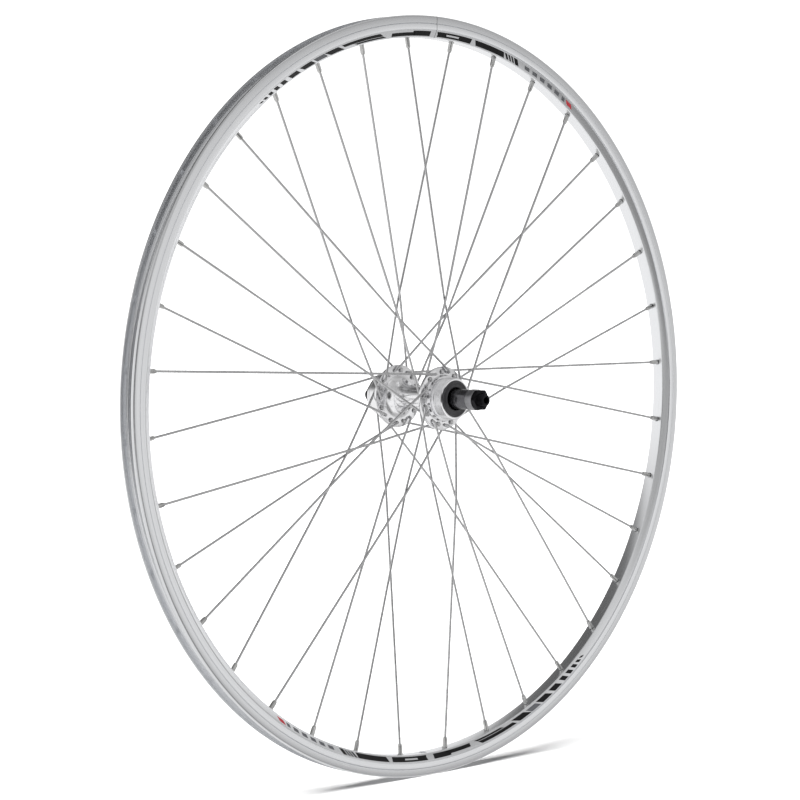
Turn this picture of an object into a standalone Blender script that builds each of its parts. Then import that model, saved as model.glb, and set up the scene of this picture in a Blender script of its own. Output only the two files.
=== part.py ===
# A rear bicycle wheel: double-wall rim, 36 spokes laced three-cross, and a cup-and-cone hub for a
# screw-on freewheel. Metres, +Z up. The origin is the wheel's centre, the axle lies along Y, and the
# drive side is at -Y. Angles round the wheel run from +X towards +Z.

import math

import bmesh
import bpy
from mathutils import Matrix, Vector

MM = 0.001
SHARP_ANGLE = math.radians(35)

# Rim
BEAD_SEAT_RADIUS = 311.0 * MM
HOOK_HEIGHT = 6.0 * MM
RIM_DEPTH = 18.0 * MM
RIM_WIDTH = 18.0 * MM
BRAKE_TRACK_HEIGHT = 11.4 * MM
SPOKE_BED_WIDTH = 11.0 * MM
SIDE_WALL = 1.6 * MM
SPOKE_BED_WALL = 1.6 * MM
TYRE_BED_WALL = 1.6 * MM
HOOK_LIP = 0.6 * MM
WELL_DEPTH = 2.5 * MM
WELL_HALF_WIDTH = 4.4 * MM
RIM_EDGE = 0.6 * MM
RIM_SEGMENTS = 60
ACCESS_HOLE_DIAMETER = 7.0 * MM
VALVE_HOLE_DIAMETER = 6.5 * MM
REST_TURN = math.radians(-0.75)

# Spokes and nipples
SPOKES_PER_SIDE = 18
CROSSINGS = 3
SPOKE_DIAMETER = 2.0 * MM
HEAD_DIAMETER = 4.2 * MM
HEAD_THICKNESS = 1.2 * MM
ELBOW_RADIUS = 2.4 * MM
ELBOW_TURNS = (math.pi / 4, math.pi / 2)
NIPPLE_DIAMETER = 4.0 * MM
NIPPLE_HEAD_DIAMETER = 5.6 * MM
NIPPLE_HEAD_HEIGHT = 2.6 * MM
NIPPLE_REACH = 9.5 * MM
WIRE_SIDES = 6

# Hub shell
LEFT_FLANGE_PLACE = 34.1 * MM
RIGHT_FLANGE_PLACE = 18.9 * MM
FLANGE_DIAMETER = 53.0 * MM
FLANGE_THICKNESS = 3.0 * MM
FLANGE_EDGE = 0.7 * MM
HOLE_CIRCLE_DIAMETER = 44.4 * MM
WAIST_DIAMETER = 19.0 * MM
FLARE_LENGTH = 14.6 * MM
FLARE_STEPS = 4
LEFT_SHELL_PROTRUSION = 18.9 * MM
DRUM_WALL = 1.5 * MM
DRUM_FILLET = 1.6 * MM
THREAD_DIAMETER = 34.9 * MM
THREAD_LENGTH = 11.0 * MM
SHOULDER_LENGTH = 3.5 * MM
SHOULDER_STEP = 1.5 * MM
SHELL_EDGE = 0.5 * MM
SHELL_SEGMENTS = 24

# Bearings
BALL_DIAMETER = 6.35 * MM
BALL_COUNT = 9
BALL_SPACING = 0.63 * MM
BALL_DEPTH = 7.6 * MM
CUP_WALL = 1.2 * MM
CUP_LENGTH = 6.2 * MM
CUP_HOLE_DIAMETER = 19.0 * MM
CAGE_WIDTH = 1.6 * MM
CAGE_LENGTH = 1.4 * MM
CAGE_OFFSET = 0.9 * MM
DUST_CAP_HOLE_DIAMETER = 19.2 * MM
DUST_CAP_SHEET = 1.4 * MM
DUST_CAP_PROUD = 0.4 * MM
CUP_RACE = (-10.0, 80.0)
CONE_RACE_END = 170.0
RACE_STEPS = 3
BEARING_SEGMENTS = 20

# Axle set
OVER_LOCKNUTS = 130.0 * MM
AXLE_STUB = 5.0 * MM
AXLE_DIAMETER = 10.0 * MM
AXLE_BORE_DIAMETER = 5.5 * MM
CONE_DIAMETER = 16.6 * MM
CONE_NOSE_WALL = 1.3 * MM
WRENCH_FLATS = 15.0 * MM
LEFT_FLATS_LENGTH = 4.0 * MM
RIGHT_FLATS_LENGTH = 10.0 * MM
SPACER_DIAMETER = 17.4 * MM
SPACER_LENGTH = 6.2 * MM
WASHER_DIAMETER = 16.4 * MM
WASHER_THICKNESS = 1.2 * MM
LOCKNUT_FLATS = 16.0 * MM
LOCKNUT_THICKNESS = 3.9 * MM
LOCKNUT_CHAMFER = 0.7 * MM
AXLE_SEGMENTS = 16

# Clearances
GAP = 0.3 * MM
HOLE_GAP = 0.3 * MM
NIPPLE_HOLE_GAP = 0.4 * MM
NIPPLE_SEAT_GAP = 0.7 * MM
WAIST_BORE_GAP = 1.5 * MM
FLARE_FOOT_GAP = 0.9 * MM
HOLE_SIDES = 6
CUT_MARGIN = 1.0 * MM

# Sizes worked out from the ones above
RIM_OUTER_RADIUS = BEAD_SEAT_RADIUS + HOOK_HEIGHT
BED_RADIUS = RIM_OUTER_RADIUS - RIM_DEPTH
CAVITY_FLOOR = BED_RADIUS + SPOKE_BED_WALL
WELL_RADIUS = BEAD_SEAT_RADIUS - WELL_DEPTH
CAVITY_CEILING = WELL_RADIUS - TYRE_BED_WALL
SPOKE_STEP = 2 * math.pi / (2 * SPOKES_PER_SIDE)
WIRE_RADIUS = SPOKE_DIAMETER / 2
SHELL_LEFT_END = LEFT_FLANGE_PLACE + FLANGE_THICKNESS / 2 + LEFT_SHELL_PROTRUSION
SHELL_RIGHT_END = RIGHT_FLANGE_PLACE + FLANGE_THICKNESS / 2 + SHOULDER_LENGTH + THREAD_LENGTH
BALL_RADIUS = BALL_DIAMETER / 2
BALL_CIRCLE = (BALL_DIAMETER + BALL_SPACING) / (2 * math.sin(math.pi / BALL_COUNT))
RACE_RADIUS = BALL_RADIUS + GAP
CUP_RADIUS = BALL_CIRCLE + RACE_RADIUS + CUP_WALL
BORE_RADIUS = CUP_RADIUS + GAP
BORE_DEPTH = BALL_DEPTH - CAGE_OFFSET + CUP_LENGTH + GAP
AXLE_RADIUS = AXLE_DIAMETER / 2
AXLE_HOLE_RADIUS = AXLE_RADIUS + GAP
WAIST_BORE_RADIUS = AXLE_RADIUS + WAIST_BORE_GAP
LOCKNUT_FACE = OVER_LOCKNUTS / 2
LOCKNUT_SEAT = LOCKNUT_FACE - LOCKNUT_THICKNESS


def material(name, colour, roughness, metallic):
    finish = bpy.data.materials.new(name)
    finish.use_nodes = True
    shader = finish.node_tree.nodes["Principled BSDF"]
    shader.inputs["Base Color"].default_value = (*colour, 1.0)
    shader.inputs["Roughness"].default_value = roughness
    shader.inputs["Metallic"].default_value = metallic
    return finish


def add_object(name, shape, finish):
    mesh = bpy.data.meshes.new(name)
    shape.to_mesh(mesh)
    shape.free()
    mesh.materials.append(finish)
    mesh.shade_smooth()
    mesh.set_sharp_from_angle(angle=SHARP_ANGLE)
    thing = bpy.data.objects.new(name, mesh)
    bpy.context.scene.collection.objects.link(thing)
    return thing


def hide_operand(thing):
    thing.hide_render = True
    thing.display_type = "WIRE"


def combine(thing, operand, operation):
    hide_operand(operand)
    step = thing.modifiers.new(operation.lower(), "BOOLEAN")
    step.operation = operation
    step.solver = "EXACT"
    step.object = operand


def turned(outline, segments):
    # A closed outline of (radius, place along Y) points, turned round the axle.
    shape = bmesh.new()
    corners = [shape.verts.new((radius, place, 0.0)) for radius, place in outline]
    edges = [shape.edges.new((corners[i - 1], corners[i])) for i in range(len(corners))]
    bmesh.ops.spin(shape, geom=corners + edges, cent=(0, 0, 0), axis=(0, 1, 0),
                   angle=2 * math.pi, steps=segments, use_merge=True)
    bmesh.ops.remove_doubles(shape, verts=shape.verts, dist=0.01 * MM)
    bmesh.ops.recalc_face_normals(shape, faces=shape.faces)
    return shape


def wheel_point(radius, angle, place):
    return Vector((radius * math.cos(angle), place, radius * math.sin(angle)))


def add_pin(shape, start, end, radius):
    # A straight round pin whose flats keep the given radius clear.
    line = end - start
    turn = line.to_track_quat("Z", "Y").to_matrix().to_4x4()
    middle = Matrix.Translation((start + end) / 2)
    across = radius / math.cos(math.pi / HOLE_SIDES)
    bmesh.ops.create_cone(shape, cap_ends=True, segments=HOLE_SIDES, radius1=across, radius2=across,
                          depth=line.length, matrix=middle @ turn)


def add_block(shape, low, high):
    size = Vector(high) - Vector(low)
    middle = (Vector(high) + Vector(low)) / 2
    place = Matrix.Translation(middle) @ Matrix.Diagonal((*size, 1.0))
    bmesh.ops.create_cube(shape, size=1.0, matrix=place)


# ---- rim ----

def rim_outline():
    half = RIM_WIDTH / 2
    inner = half - SIDE_WALL
    track_end = RIM_OUTER_RADIUS - BRAKE_TRACK_HEIGHT
    drive_half = [
        (BED_RADIUS, SPOKE_BED_WIDTH / 2),
        (BED_RADIUS + 2 * RIM_EDGE, SPOKE_BED_WIDTH / 2 + RIM_EDGE),
        (track_end, half),
        (RIM_OUTER_RADIUS - RIM_EDGE, half),
        (RIM_OUTER_RADIUS, half - RIM_EDGE),
        (RIM_OUTER_RADIUS, inner - HOOK_LIP),
        (RIM_OUTER_RADIUS - 3 * RIM_EDGE, inner),
        (BEAD_SEAT_RADIUS, inner),
        (BEAD_SEAT_RADIUS, WELL_HALF_WIDTH + WELL_DEPTH / 2),
        (WELL_RADIUS, WELL_HALF_WIDTH),
    ]
    return [(r, -y) for r, y in drive_half] + [(r, y) for r, y in reversed(drive_half)]


def cavity_outline():
    bed_half = SPOKE_BED_WIDTH / 2 - RIM_EDGE
    ceiling_half = RIM_WIDTH / 2 - 2 * SIDE_WALL
    corner = CAVITY_FLOOR + 2 * RIM_EDGE
    return [
        (CAVITY_FLOOR, -bed_half + RIM_EDGE),
        (corner, -bed_half),
        (CAVITY_CEILING, -ceiling_half),
        (CAVITY_CEILING, ceiling_half),
        (corner, bed_half),
        (CAVITY_FLOOR, bed_half - RIM_EDGE),
    ]


def nipple_angle(index):
    return math.pi / 2 + SPOKE_STEP * (index + 0.5) + REST_TURN


def build_rim(finish):
    rim = add_object("rim", turned(rim_outline(), RIM_SEGMENTS), finish)
    cavity = add_object("rim_cavity", turned(cavity_outline(), RIM_SEGMENTS), finish)
    combine(rim, cavity, "DIFFERENCE")
    holes = bmesh.new()
    middle = (CAVITY_FLOOR + CAVITY_CEILING) / 2
    for index in range(2 * SPOKES_PER_SIDE):
        angle = nipple_angle(index)
        spoke_hole = NIPPLE_DIAMETER / 2 + NIPPLE_HOLE_GAP
        add_pin(holes, wheel_point(BED_RADIUS - CUT_MARGIN, angle, 0),
                wheel_point(middle - CUT_MARGIN / 2, angle, 0), spoke_hole)
        add_pin(holes, wheel_point(middle + CUT_MARGIN / 2, angle, 0),
                wheel_point(WELL_RADIUS + CUT_MARGIN, angle, 0), ACCESS_HOLE_DIAMETER / 2)
    valve_angle = -math.pi / 2 + REST_TURN
    add_pin(holes, wheel_point(BED_RADIUS - CUT_MARGIN, valve_angle, 0),
            wheel_point(WELL_RADIUS + CUT_MARGIN, valve_angle, 0), VALVE_HOLE_DIAMETER / 2)
    combine(rim, add_object("rim_holes", holes, finish), "DIFFERENCE")


# ---- hub shell ----

def flare_points(face, side):
    # The quarter-ellipse flare from the waist out to a flange's inner face.
    foot = HOLE_CIRCLE_DIAMETER / 2 - HEAD_DIAMETER / 2 - FLARE_FOOT_GAP
    waist = WAIST_DIAMETER / 2
    points = []
    for step in range(FLARE_STEPS + 1):
        turn = math.pi / 2 * step / FLARE_STEPS
        radius = waist + (foot - waist) * (1 - math.cos(turn))
        points.append((radius, side * (face - FLARE_LENGTH + FLARE_LENGTH * math.sin(turn))))
    return points


def flange_points(place, side):
    inner = place - FLANGE_THICKNESS / 2
    outer = place + FLANGE_THICKNESS / 2
    radius = FLANGE_DIAMETER / 2
    return [
        (radius - FLANGE_EDGE, side * inner),
        (radius, side * (inner + FLANGE_EDGE)),
        (radius, side * (outer - FLANGE_EDGE)),
        (radius - FLANGE_EDGE, side * outer),
    ]


def shell_outline():
    drum = BORE_RADIUS + DRUM_WALL
    left_face = LEFT_FLANGE_PLACE + FLANGE_THICKNESS / 2
    right_face = RIGHT_FLANGE_PLACE + FLANGE_THICKNESS / 2
    thread = THREAD_DIAMETER / 2
    shoulder = thread + SHOULDER_STEP
    shoulder_end = right_face + SHOULDER_LENGTH
    corner = DRUM_FILLET * (1 - math.cos(math.pi / 4))
    left = [
        (BORE_RADIUS, SHELL_LEFT_END),
        (drum - SHELL_EDGE, SHELL_LEFT_END),
        (drum, SHELL_LEFT_END - SHELL_EDGE),
        (drum, left_face + DRUM_FILLET),
        (drum + corner, left_face + corner),
        (drum + DRUM_FILLET, left_face),
    ]
    left += reversed(flange_points(LEFT_FLANGE_PLACE, 1))
    left += reversed(flare_points(LEFT_FLANGE_PLACE - FLANGE_THICKNESS / 2, 1))
    right = flare_points(RIGHT_FLANGE_PLACE - FLANGE_THICKNESS / 2, -1)
    right += flange_points(RIGHT_FLANGE_PLACE, -1)
    right += [
        (shoulder, -right_face),
        (shoulder, -shoulder_end),
        (thread, -shoulder_end),
        (thread, -SHELL_RIGHT_END + 2 * SHELL_EDGE),
        (thread - 2 * SHELL_EDGE, -SHELL_RIGHT_END),
        (BORE_RADIUS, -SHELL_RIGHT_END),
        (BORE_RADIUS, -SHELL_RIGHT_END + BORE_DEPTH),
        (WAIST_BORE_RADIUS, -SHELL_RIGHT_END + BORE_DEPTH),
        (WAIST_BORE_RADIUS, SHELL_LEFT_END - BORE_DEPTH),
        (BORE_RADIUS, SHELL_LEFT_END - BORE_DEPTH),
    ]
    return left + right


def build_shell(finish):
    shell = add_object("hub_shell", turned(shell_outline(), SHELL_SEGMENTS), finish)
    holes = bmesh.new()
    reach = FLANGE_THICKNESS / 2 + CUT_MARGIN
    for index in range(2 * SPOKES_PER_SIDE):
        angle = nipple_angle(index)
        place = flange_place(index)
        add_pin(holes, wheel_point(HOLE_CIRCLE_DIAMETER / 2, angle, place - reach),
                wheel_point(HOLE_CIRCLE_DIAMETER / 2, angle, place + reach), WIRE_RADIUS + HOLE_GAP)
    combine(shell, add_object("flange_holes", holes, finish), "DIFFERENCE")


# ---- spokes ----

def flange_place(index):
    return LEFT_FLANGE_PLACE if index % 2 else -RIGHT_FLANGE_PLACE


def spoke_path(index):
    # Spokes come in fours: right and left running outside their flange, then right and left inside.
    place = flange_place(index)
    side = 1 if place > 0 else -1
    run = 1 if index % 4 in (0, 1) else -1
    rim_angle = nipple_angle(index)
    lead = 2 * SPOKE_STEP * CROSSINGS
    hub_angle = rim_angle - run * lead
    hole = wheel_point(HOLE_CIRCLE_DIAMETER / 2, hub_angle, place)
    seat = wheel_point((BED_RADIUS + CAVITY_FLOOR) / 2, rim_angle, 0)
    along = Vector((seat.x - hole.x, 0, seat.z - hole.z))
    cross_angle = hub_angle + run * (lead - SPOKE_STEP)
    ray = wheel_point(1, cross_angle, 0)
    share = (hole.z * ray.x - hole.x * ray.z) / (along.x * ray.z - along.z * ray.x)
    crossing = hole + along * share
    crossing.y = place * (1 - share) - side * run * (WIRE_RADIUS + GAP / 2)
    return hole, crossing, seat, along.normalized(), side * run


def spoke_stations(index):
    # (centre, direction, radius) along the spoke, from its head to the top of its nipple.
    hole, crossing, seat, level, out = spoke_path(index)
    across = Vector((0, out, 0))
    face = hole + across * FLANGE_THICKNESS / 2
    head = hole - across * (FLANGE_THICKNESS / 2 + GAP)
    stations = [
        (head - across * HEAD_THICKNESS, across, HEAD_DIAMETER / 2 - HEAD_THICKNESS / 2),
        (head, across, HEAD_DIAMETER / 2),
        (head, across, WIRE_RADIUS),
        (face, across, WIRE_RADIUS),
    ]
    for turn in ELBOW_TURNS:
        centre = face + level * ELBOW_RADIUS * (1 - math.cos(turn)) + across * ELBOW_RADIUS * math.sin(turn)
        stations.append((centre, level * math.sin(turn) + across * math.cos(turn), WIRE_RADIUS))
    pull = (seat - crossing).normalized()
    stations.append((crossing, (crossing - stations[-1][0]).normalized() + pull, WIRE_RADIUS))
    tip = seat - pull * NIPPLE_REACH
    bottom = seat + pull * (SPOKE_BED_WALL / 2 + NIPPLE_SEAT_GAP)
    stations += [
        (tip, pull, WIRE_RADIUS),
        (tip, pull, NIPPLE_DIAMETER / 2),
        (bottom, pull, NIPPLE_DIAMETER / 2),
        (bottom, pull, NIPPLE_HEAD_DIAMETER / 2),
        (bottom + pull * NIPPLE_HEAD_HEIGHT, pull, NIPPLE_DIAMETER / 2),
    ]
    return stations


def build_spoke(index, finish):
    shape = bmesh.new()
    side = None
    previous = None
    for centre, direction, radius in spoke_stations(index):
        direction = direction.normalized()
        if side is None:
            side = direction.orthogonal()
        side = (side - direction * side.dot(direction)).normalized()
        other = direction.cross(side)
        ring = []
        for corner in range(WIRE_SIDES):
            turn = 2 * math.pi * corner / WIRE_SIDES
            ring.append(shape.verts.new(centre + (side * math.cos(turn) + other * math.sin(turn)) * radius))
        if previous is None:
            shape.faces.new(ring)
        else:
            for corner in range(WIRE_SIDES):
                after = (corner + 1) % WIRE_SIDES
                shape.faces.new((previous[corner], previous[after], ring[after], ring[corner]))
        previous = ring
    shape.faces.new(previous)
    bmesh.ops.recalc_face_normals(shape, faces=shape.faces)
    add_object(f"spoke_{index + 1:02d}", shape, finish)


# ---- bearings and axle set ----
# Both ends of the hub are drawn with depths measured inwards from the end face of the shell.

def end_outline(end, side, points):
    return [(radius, side * (end - depth)) for radius, depth in points]


def race(first, last):
    # Points round the ball, at angles from straight outwards towards the middle of the hub.
    points = []
    for step in range(RACE_STEPS + 1):
        turn = math.radians(first + (last - first) * step / RACE_STEPS)
        points.append((BALL_CIRCLE + RACE_RADIUS * math.cos(turn), BALL_DEPTH + RACE_RADIUS * math.sin(turn)))
    return points


def build_cup(name, end, side, finish):
    outer = BALL_DEPTH - CAGE_OFFSET
    inner = outer + CUP_LENGTH
    points = [(CUP_RADIUS, inner), (CUP_RADIUS, outer)] + race(*CUP_RACE)
    points += [(CUP_HOLE_DIAMETER / 2, BALL_DEPTH + RACE_RADIUS), (CUP_HOLE_DIAMETER / 2, inner)]
    add_object(name, turned(end_outline(end, side, points), BEARING_SEGMENTS), finish)


def build_cage(name, end, side, finish):
    outer = BALL_DEPTH - CAGE_OFFSET - CAGE_LENGTH
    inner = BALL_DEPTH - CAGE_OFFSET
    low = BALL_CIRCLE - CAGE_WIDTH / 2
    high = BALL_CIRCLE + CAGE_WIDTH / 2
    points = [(low, outer), (high, outer), (high, inner), (low, inner)]
    cage = add_object(name, turned(end_outline(end, side, points), BEARING_SEGMENTS), finish)
    balls = bmesh.new()
    for index in range(BALL_COUNT):
        centre = wheel_point(BALL_CIRCLE, 2 * math.pi * index / BALL_COUNT, side * (end - BALL_DEPTH))
        bmesh.ops.create_uvsphere(balls, u_segments=8, v_segments=6, radius=BALL_RADIUS,
                                  matrix=Matrix.Translation(centre))
    combine(cage, add_object(name + "_balls", balls, finish), "UNION")


def build_dust_cap(name, end, side, finish):
    wall_end = BALL_DEPTH - CAGE_OFFSET - GAP
    points = [
        (CUP_RADIUS, -DUST_CAP_PROUD + DUST_CAP_SHEET / 2),
        (CUP_RADIUS, wall_end),
        (CUP_RADIUS - DUST_CAP_SHEET, wall_end),
        (CUP_RADIUS - DUST_CAP_SHEET, DUST_CAP_SHEET),
        (DUST_CAP_HOLE_DIAMETER / 2, DUST_CAP_SHEET),
        (DUST_CAP_HOLE_DIAMETER / 2, -DUST_CAP_PROUD / 2),
        (DUST_CAP_HOLE_DIAMETER / 2 + DUST_CAP_PROUD, -DUST_CAP_PROUD),
        (CUP_RADIUS - DUST_CAP_SHEET / 2, -DUST_CAP_PROUD),
    ]
    add_object(name, turned(end_outline(end, side, points), BEARING_SEGMENTS), finish)


def build_cone(name, end, side, seat, flats_length, finish):
    # The cone's outer end, at its seat, presses on the lock washer.
    radius = CONE_DIAMETER / 2
    shoulder = math.degrees(math.acos((BALL_CIRCLE - radius) / RACE_RADIUS))
    nose = BALL_DEPTH + RACE_RADIUS / 2
    seat_depth = end - seat
    curve = race(180 + shoulder, CONE_RACE_END)
    points = [(AXLE_HOLE_RADIUS, seat_depth), (radius, seat_depth)] + curve
    points += [(AXLE_HOLE_RADIUS + CONE_NOSE_WALL, nose), (AXLE_HOLE_RADIUS, nose)]
    cone = add_object(name, turned(end_outline(end, side, points), BEARING_SEGMENTS), finish)
    flats = bmesh.new()
    start = min(side * (seat - flats_length), side * (seat + CUT_MARGIN))
    stop = max(side * (seat - flats_length), side * (seat + CUT_MARGIN))
    for way in (-1, 1):
        near = way * WRENCH_FLATS / 2
        far = way * CONE_DIAMETER
        low = (min(near, far), start, -CONE_DIAMETER)
        high = (max(near, far), stop, CONE_DIAMETER)
        add_block(flats, low, high)
    combine(cone, add_object(name + "_flats", flats, finish), "DIFFERENCE")


def build_tube(name, outer, inner, start, stop, segments, finish):
    outline = [(inner, start), (outer, start), (outer, stop), (inner, stop)]
    return add_object(name, turned(outline, segments), finish)


def build_locknut(name, side, finish):
    corner = LOCKNUT_FLATS / 2 / math.cos(math.pi / 6)
    outline = [
        (AXLE_HOLE_RADIUS, side * LOCKNUT_SEAT),
        (corner - LOCKNUT_CHAMFER, side * LOCKNUT_SEAT),
        (corner, side * (LOCKNUT_SEAT + LOCKNUT_CHAMFER / 2)),
        (corner, side * (LOCKNUT_FACE - LOCKNUT_CHAMFER / 2)),
        (corner - LOCKNUT_CHAMFER, side * LOCKNUT_FACE),
        (AXLE_HOLE_RADIUS, side * LOCKNUT_FACE),
    ]
    nut = add_object(name, turned(outline, AXLE_SEGMENTS), finish)
    flats = bmesh.new()
    turn = Matrix.Rotation(math.pi / 2, 4, "X") @ Matrix.Rotation(math.pi / 2, 4, "Z")
    bmesh.ops.create_cone(flats, cap_ends=True, segments=6, radius1=corner, radius2=corner,
                          depth=2 * (LOCKNUT_FACE + CUT_MARGIN), matrix=turn)
    combine(nut, add_object(name + "_flats", flats, finish), "INTERSECT")


def build_axle_set(steel, black):
    axle_end = LOCKNUT_FACE + AXLE_STUB
    build_tube("axle", AXLE_RADIUS, AXLE_BORE_DIAMETER / 2, -axle_end, axle_end, AXLE_SEGMENTS, black)
    for name, side, spacer in (("left", 1, 0.0), ("right", -1, SPACER_LENGTH + GAP)):
        washer_outer = LOCKNUT_SEAT - GAP - spacer
        washer_inner = washer_outer - WASHER_THICKNESS
        seat = washer_inner - GAP
        end = SHELL_LEFT_END if side == 1 else SHELL_RIGHT_END
        flats_length = LEFT_FLATS_LENGTH if side == 1 else RIGHT_FLATS_LENGTH
        build_locknut("locknut_" + name, side, black)
        build_tube("lock_washer_" + name, WASHER_DIAMETER / 2, AXLE_HOLE_RADIUS,
                   side * washer_inner, side * washer_outer, BEARING_SEGMENTS, steel)
        build_cone("cone_" + name, end, side, seat, flats_length, steel)
    build_tube("spacer_right", SPACER_DIAMETER / 2, AXLE_HOLE_RADIUS,
               -(LOCKNUT_SEAT - GAP), -(LOCKNUT_SEAT - GAP - SPACER_LENGTH), BEARING_SEGMENTS, steel)


def build_wheel():
    for thing in list(bpy.data.objects):
        bpy.data.objects.remove(thing)
    aluminium = material("satin aluminium", (0.62, 0.63, 0.65), 0.35, 1.0)
    polished = material("polished aluminium", (0.75, 0.75, 0.77), 0.15, 1.0)
    spoke_steel = material("stainless wire", (0.42, 0.42, 0.43), 0.3, 1.0)
    bearing_steel = material("bearing steel", (0.55, 0.55, 0.56), 0.2, 1.0)
    zinc_steel = material("zinc plated steel", (0.45, 0.45, 0.46), 0.4, 1.0)
    black_steel = material("black oxide steel", (0.015, 0.015, 0.016), 0.4, 1.0)
    charcoal = material("charcoal nylon", (0.06, 0.06, 0.062), 0.5, 0.0)
    build_rim(aluminium)
    build_shell(polished)
    for index in range(2 * SPOKES_PER_SIDE):
        build_spoke(index, spoke_steel)
    for name, end, side in (("left", SHELL_LEFT_END, 1), ("right", SHELL_RIGHT_END, -1)):
        build_cup("bearing_cup_" + name, end, side, bearing_steel)
        build_cage("ball_cage_" + name, end, side, bearing_steel)
        build_dust_cap("dust_cap_" + name, end, side, charcoal)
    build_axle_set(zinc_steel, black_steel)


build_wheel()
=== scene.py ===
import math

import bmesh
import bpy
from mathutils import Matrix, Vector


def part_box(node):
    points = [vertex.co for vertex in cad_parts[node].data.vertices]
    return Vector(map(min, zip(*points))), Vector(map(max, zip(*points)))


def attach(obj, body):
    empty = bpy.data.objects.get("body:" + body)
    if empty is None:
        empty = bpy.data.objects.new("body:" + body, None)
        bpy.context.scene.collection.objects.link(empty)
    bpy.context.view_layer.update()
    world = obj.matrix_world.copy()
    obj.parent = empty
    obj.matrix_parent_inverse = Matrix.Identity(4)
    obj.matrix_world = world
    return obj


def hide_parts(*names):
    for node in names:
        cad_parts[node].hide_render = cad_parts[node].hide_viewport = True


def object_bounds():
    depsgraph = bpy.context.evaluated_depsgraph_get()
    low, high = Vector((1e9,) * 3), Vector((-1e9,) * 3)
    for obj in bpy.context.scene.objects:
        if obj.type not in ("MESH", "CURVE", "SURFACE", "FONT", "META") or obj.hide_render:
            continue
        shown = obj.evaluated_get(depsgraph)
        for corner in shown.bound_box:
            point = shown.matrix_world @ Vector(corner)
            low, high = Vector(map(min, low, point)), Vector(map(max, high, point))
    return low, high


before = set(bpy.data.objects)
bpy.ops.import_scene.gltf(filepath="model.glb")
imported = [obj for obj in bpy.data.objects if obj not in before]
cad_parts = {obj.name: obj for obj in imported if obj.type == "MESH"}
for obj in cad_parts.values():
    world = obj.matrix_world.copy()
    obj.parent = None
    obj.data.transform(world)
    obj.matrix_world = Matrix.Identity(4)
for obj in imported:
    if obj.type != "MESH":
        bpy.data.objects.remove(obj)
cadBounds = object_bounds()

mm = 0.001
fullTurn = 2 * math.pi
sharpAngle = math.radians(32)
weldDistance = 0.002 * mm
roundSteps = 3  # segments in every rounded corner

# The axle lies along Y with the freewheel side at -Y. Angles run from +X towards +Z.
wheel = {
    "spokes": 36,
    "crossings": 3,
    "restTurn": math.radians(-0.75),
    "leftFlange": 34.1,
    "rightFlange": -18.9,
    "flangeThickness": 3.0,
    "holeCircle": 22.2,
    "spokeSeat": 299.8,
}
spokeStep = fullTurn / wheel["spokes"]


def report(stage):
    print("wheel:", stage)


def linear(hexColour):
    # sRGB hex to linear colour with full alpha.
    parts = [int(hexColour[i:i + 2], 16) / 255 for i in (1, 3, 5)]
    return [c / 12.92 if c <= 0.04045 else ((c + 0.055) / 1.055) ** 2.4 for c in parts] + [1.0]


def addNode(tree, kind, settings=None, inputs=None):
    # One node with its own settings; a socket given as a value is linked, anything else is set.
    node = tree.nodes.new(kind)
    for name, value in (settings or {}).items():
        setattr(node, name, value)
    for name, value in (inputs or {}).items():
        if isinstance(value, bpy.types.NodeSocket):
            tree.links.new(value, node.inputs[name])
        else:
            node.inputs[name].default_value = value
    return node


def newFinish(name, colour, metallic, roughness):
    finish = bpy.data.materials.new(name)
    finish.use_nodes = True
    shader = finish.node_tree.nodes["Principled BSDF"]
    shader.inputs["Base Color"].default_value = linear(colour)
    shader.inputs["Metallic"].default_value = metallic
    shader.inputs["Roughness"].default_value = roughness
    return finish, finish.node_tree, shader


def objectPlace(tree):
    return addNode(tree, "ShaderNodeTexCoord").outputs["Object"]


def roundTheAxle(tree):
    # Object coordinates as distance from the axle, place along it, and angle round it.
    where = objectPlace(tree)
    split = addNode(tree, "ShaderNodeSeparateXYZ", inputs={"Vector": where})
    flat = addNode(tree, "ShaderNodeVectorMath", {"operation": "MULTIPLY"}, {0: where, 1: (1, 0, 1)})
    radius = addNode(tree, "ShaderNodeVectorMath", {"operation": "LENGTH"}, {0: flat.outputs[0]})
    angle = mathNode(tree, "ARCTAN2", split.outputs["Z"], split.outputs["X"])
    return radius.outputs["Value"], split.outputs["Y"], angle


def addPiece(name, shape, finish, body, nodes):
    mesh = bpy.data.meshes.new(name)
    shape.to_mesh(mesh)
    shape.free()
    return addMesh(name, mesh, finish, body, nodes)


def addMesh(name, mesh, finish, body, nodes):
    mesh.materials.clear()
    mesh.materials.append(finish)
    mesh.shade_smooth()
    mesh.set_sharp_from_angle(angle=sharpAngle)
    piece = bpy.data.objects.new(name, mesh)
    bpy.context.scene.collection.objects.link(piece)
    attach(piece, body)
    if nodes:
        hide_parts(*nodes)
    return piece


def cutShape(shape, cutter, operation="DIFFERENCE"):
    # Cuts one bmesh with another and hands back the result as a new bmesh.
    things = []
    for name, part in (("cutBody", shape), ("cutTool", cutter)):
        mesh = bpy.data.meshes.new(name)
        part.to_mesh(mesh)
        part.free()
        thing = bpy.data.objects.new(name, mesh)
        bpy.context.scene.collection.objects.link(thing)
        things.append(thing)
    step = things[0].modifiers.new("cut", "BOOLEAN")
    step.operation = operation
    step.solver = "EXACT"
    step.object = things[1]
    bpy.context.view_layer.update()
    graph = bpy.context.evaluated_depsgraph_get()
    result = bpy.data.meshes.new_from_object(things[0].evaluated_get(graph))
    for thing in things:
        bpy.data.objects.remove(thing)
    done = bmesh.new()
    done.from_mesh(result)
    bpy.data.meshes.remove(result)
    return done


def wheelPoint(radius, angle, place):
    return Vector((radius * math.cos(angle), place, radius * math.sin(angle))) * mm


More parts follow.
